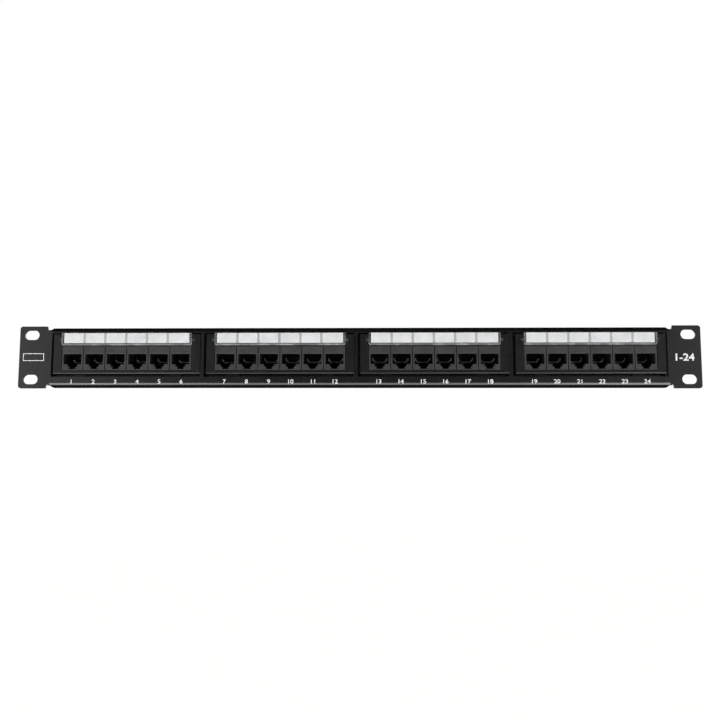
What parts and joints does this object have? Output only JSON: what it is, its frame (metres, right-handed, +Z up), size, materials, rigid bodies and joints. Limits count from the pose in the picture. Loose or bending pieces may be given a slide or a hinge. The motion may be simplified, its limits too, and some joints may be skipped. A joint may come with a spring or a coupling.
{
  "type": "patch panel",
  "caption": "One-unit rack patch panel: a black steel front with snap-in modules of modular sockets, label strips under clear covers, and punch-down terminals at the back.",
  "frame": {"origin": "centre of the four rack slots, on the rear face of the ears", "axes": "+X to the right as the panel is faced, +Y to the back, into the rack, +Z up"},
  "size_m": [0.4826, 0.037, 0.0444],
  "materials": {
    "black_steel": "fine-textured black powder coat",
    "bezel_plastic": "spark-eroded matt black",
    "socket_plastic": "satin black",
    "gold_wire": "gold-plated spring wire",
    "label_paper": "plain white card",
    "clear_cover": "clear polycarbonate",
    "board_laminate": "green solder mask",
    "terminal_plastic": "moulded black",
    "tinned_blade": "tin-plated bronze",
    "zinc_screw": "zinc-plated"
  },
  "bodies": {
    "panel": {"front_panel": "black_steel", "bezel_1": "bezel_plastic", "jack_housings_1": "socket_plastic", "contact_leads_1": "gold_wire", "label_paper_1": "label_paper", "circuit_board_1": "board_laminate", "idc_blocks_1": "terminal_plastic", "idc_contacts_1": "tinned_blade", "bezel_2": "bezel_plastic", "jack_housings_2": "socket_plastic", "contact_leads_2": "gold_wire", "label_paper_2": "label_paper", "circuit_board_2": "board_laminate", "idc_blocks_2": "terminal_plastic", "idc_contacts_2": "tinned_blade", "bezel_3": "bezel_plastic", "jack_housings_3": "socket_plastic", "contact_leads_3": "gold_wire", "label_paper_3": "label_paper", "circuit_board_3": "board_laminate", "idc_blocks_3": "terminal_plastic", "idc_contacts_3": "tinned_blade", "bezel_4": "bezel_plastic", "jack_housings_4": "socket_plastic", "contact_leads_4": "gold_wire", "label_paper_4": "label_paper", "circuit_board_4": "board_laminate", "idc_blocks_4": "terminal_plastic", "idc_contacts_4": "tinned_blade", "board_screws": "zinc_screw"},
    "cover_1": {"label_cover_1": "clear_cover"},
    "cover_2": {"label_cover_2": "clear_cover"},
    "cover_3": {"label_cover_3": "clear_cover"},
    "cover_4": {"label_cover_4": "clear_cover"},
    "wires_01": {"contacts_01": "gold_wire"},
    "wires_02": {"contacts_02": "gold_wire"},
    "wires_03": {"contacts_03": "gold_wire"},
    "wires_04": {"contacts_04": "gold_wire"},
    "wires_05": {"contacts_05": "gold_wire"},
    "wires_06": {"contacts_06": "gold_wire"},
    "wires_07": {"contacts_07": "gold_wire"},
    "wires_08": {"contacts_08": "gold_wire"},
    "wires_09": {"contacts_09": "gold_wire"},
    "wires_10": {"contacts_10": "gold_wire"},
    "wires_11": {"contacts_11": "gold_wire"},
    "wires_12": {"contacts_12": "gold_wire"},
    "wires_13": {"contacts_13": "gold_wire"},
    "wires_14": {"contacts_14": "gold_wire"},
    "wires_15": {"contacts_15": "gold_wire"},
    "wires_16": {"contacts_16": "gold_wire"},
    "wires_17": {"contacts_17": "gold_wire"},
    "wires_18": {"contacts_18": "gold_wire"},
    "wires_19": {"contacts_19": "gold_wire"},
    "wires_20": {"contacts_20": "gold_wire"},
    "wires_21": {"contacts_21": "gold_wire"},
    "wires_22": {"contacts_22": "gold_wire"},
    "wires_23": {"contacts_23": "gold_wire"},
    "wires_24": {"contacts_24": "gold_wire"}
  },
  "joints": [
    {"name": "cover_1_pull", "type": "slide", "parent": "panel", "child": "cover_1", "axis": [0, -1, 0], "range_m": [0, 0.012]},
    {"name": "cover_2_pull", "type": "slide", "parent": "panel", "child": "cover_2", "axis": [0, -1, 0], "range_m": [0, 0.012]},
    {"name": "cover_3_pull", "type": "slide", "parent": "panel", "child": "cover_3", "axis": [0, -1, 0], "range_m": [0, 0.012]},
    {"name": "cover_4_pull", "type": "slide", "parent": "panel", "child": "cover_4", "axis": [0, -1, 0], "range_m": [0, 0.012]},
    {"name": "wires_01_flex", "type": "hinge", "parent": "panel", "child": "wires_01", "pos_m": [-0.2026, 0.0002, 0.0036], "axis": [1, 0, 0], "range_deg": [0, 10], "stiffness_Nm_per_rad": 0.02},
    {"name": "wires_02_flex", "type": "hinge", "parent": "panel", "child": "wires_02", "pos_m": [-0.18714, 0.0002, 0.0036], "axis": [1, 0, 0], "range_deg": [0, 10], "stiffness_Nm_per_rad": 0.02},
    {"name": "wires_03_flex", "type": "hinge", "parent": "panel", "child": "wires_03", "pos_m": [-0.17168, 0.0002, 0.0036], "axis": [1, 0, 0], "range_deg": [0, 10], "stiffness_Nm_per_rad": 0.02},
    {"name": "wires_04_flex", "type": "hinge", "parent": "panel", "child": "wires_04", "pos_m": [-0.15622, 0.0002, 0.0036], "axis": [1, 0, 0], "range_deg": [0, 10], "stiffness_Nm_per_rad": 0.02},
    {"name": "wires_05_flex", "type": "hinge", "parent": "panel", "child": "wires_05", "pos_m": [-0.14076, 0.0002, 0.0036], "axis": [1, 0, 0], "range_deg": [0, 10], "stiffness_Nm_per_rad": 0.02},
    {"name": "wires_06_flex", "type": "hinge", "parent": "panel", "child": "wires_06", "pos_m": [-0.1253, 0.0002, 0.0036], "axis": [1, 0, 0], "range_deg": [0, 10], "stiffness_Nm_per_rad": 0.02},
    {"name": "wires_07_flex", "type": "hinge", "parent": "panel", "child": "wires_07", "pos_m": [-0.0933, 0.0002, 0.0036], "axis": [1, 0, 0], "range_deg": [0, 10], "stiffness_Nm_per_rad": 0.02},
    {"name": "wires_08_flex", "type": "hinge", "parent": "panel", "child": "wires_08", "pos_m": [-0.07784, 0.0002, 0.0036], "axis": [1, 0, 0], "range_deg": [0, 10], "stiffness_Nm_per_rad": 0.02},
    {"name": "wires_09_flex", "type": "hinge", "parent": "panel", "child": "wires_09", "pos_m": [-0.06238, 0.0002, 0.0036], "axis": [1, 0, 0], "range_deg": [0, 10], "stiffness_Nm_per_rad": 0.02},
    {"name": "wires_10_flex", "type": "hinge", "parent": "panel", "child": "wires_10", "pos_m": [-0.04692, 0.0002, 0.0036], "axis": [1, 0, 0], "range_deg": [0, 10], "stiffness_Nm_per_rad": 0.02},
    {"name": "wires_11_flex", "type": "hinge", "parent": "panel", "child": "wires_11", "pos_m": [-0.03146, 0.0002, 0.0036], "axis": [1, 0, 0], "range_deg": [0, 10], "stiffness_Nm_per_rad": 0.02},
    {"name": "wires_12_flex", "type": "hinge", "parent": "panel", "child": "wires_12", "pos_m": [-0.016, 0.0002, 0.0036], "axis": [1, 0, 0], "range_deg": [0, 10], "stiffness_Nm_per_rad": 0.02},
    {"name": "wires_13_flex", "type": "hinge", "parent": "panel", "child": "wires_13", "pos_m": [0.016, 0.0002, 0.0036], "axis": [1, 0, 0], "range_deg": [0, 10], "stiffness_Nm_per_rad": 0.02},
    {"name": "wires_14_flex", "type": "hinge", "parent": "panel", "child": "wires_14", "pos_m": [0.03146, 0.0002, 0.0036], "axis": [1, 0, 0], "range_deg": [0, 10], "stiffness_Nm_per_rad": 0.02},
    {"name": "wires_15_flex", "type": "hinge", "parent": "panel", "child": "wires_15", "pos_m": [0.04692, 0.0002, 0.0036], "axis": [1, 0, 0], "range_deg": [0, 10], "stiffness_Nm_per_rad": 0.02},
    {"name": "wires_16_flex", "type": "hinge", "parent": "panel", "child": "wires_16", "pos_m": [0.06238, 0.0002, 0.0036], "axis": [1, 0, 0], "range_deg": [0, 10], "stiffness_Nm_per_rad": 0.02},
    {"name": "wires_17_flex", "type": "hinge", "parent": "panel", "child": "wires_17", "pos_m": [0.07784, 0.0002, 0.0036], "axis": [1, 0, 0], "range_deg": [0, 10], "stiffness_Nm_per_rad": 0.02},
    {"name": "wires_18_flex", "type": "hinge", "parent": "panel", "child": "wires_18", "pos_m": [0.0933, 0.0002, 0.0036], "axis": [1, 0, 0], "range_deg": [0, 10], "stiffness_Nm_per_rad": 0.02},
    {"name": "wires_19_flex", "type": "hinge", "parent": "panel", "child": "wires_19", "pos_m": [0.1253, 0.0002, 0.0036], "axis": [1, 0, 0], "range_deg": [0, 10], "stiffness_Nm_per_rad": 0.02},
    {"name": "wires_20_flex", "type": "hinge", "parent": "panel", "child": "wires_20", "pos_m": [0.14076, 0.0002, 0.0036], "axis": [1, 0, 0], "range_deg": [0, 10], "stiffness_Nm_per_rad": 0.02},
    {"name": "wires_21_flex", "type": "hinge", "parent": "panel", "child": "wires_21", "pos_m": [0.15622, 0.0002, 0.0036], "axis": [1, 0, 0], "range_deg": [0, 10], "stiffness_Nm_per_rad": 0.02},
    {"name": "wires_22_flex", "type": "hinge", "parent": "panel", "child": "wires_22", "pos_m": [0.17168, 0.0002, 0.0036], "axis": [1, 0, 0], "range_deg": [0, 10], "stiffness_Nm_per_rad": 0.02},
    {"name": "wires_23_flex", "type": "hinge", "parent": "panel", "child": "wires_23", "pos_m": [0.18714, 0.0002, 0.0036], "axis": [1, 0, 0], "range_deg": [0, 10], "stiffness_Nm_per_rad": 0.02},
    {"name": "wires_24_flex", "type": "hinge", "parent": "panel", "child": "wires_24", "pos_m": [0.2026, 0.0002, 0.0036], "axis": [1, 0, 0], "range_deg": [0, 10], "stiffness_Nm_per_rad": 0.02}
  ]
}
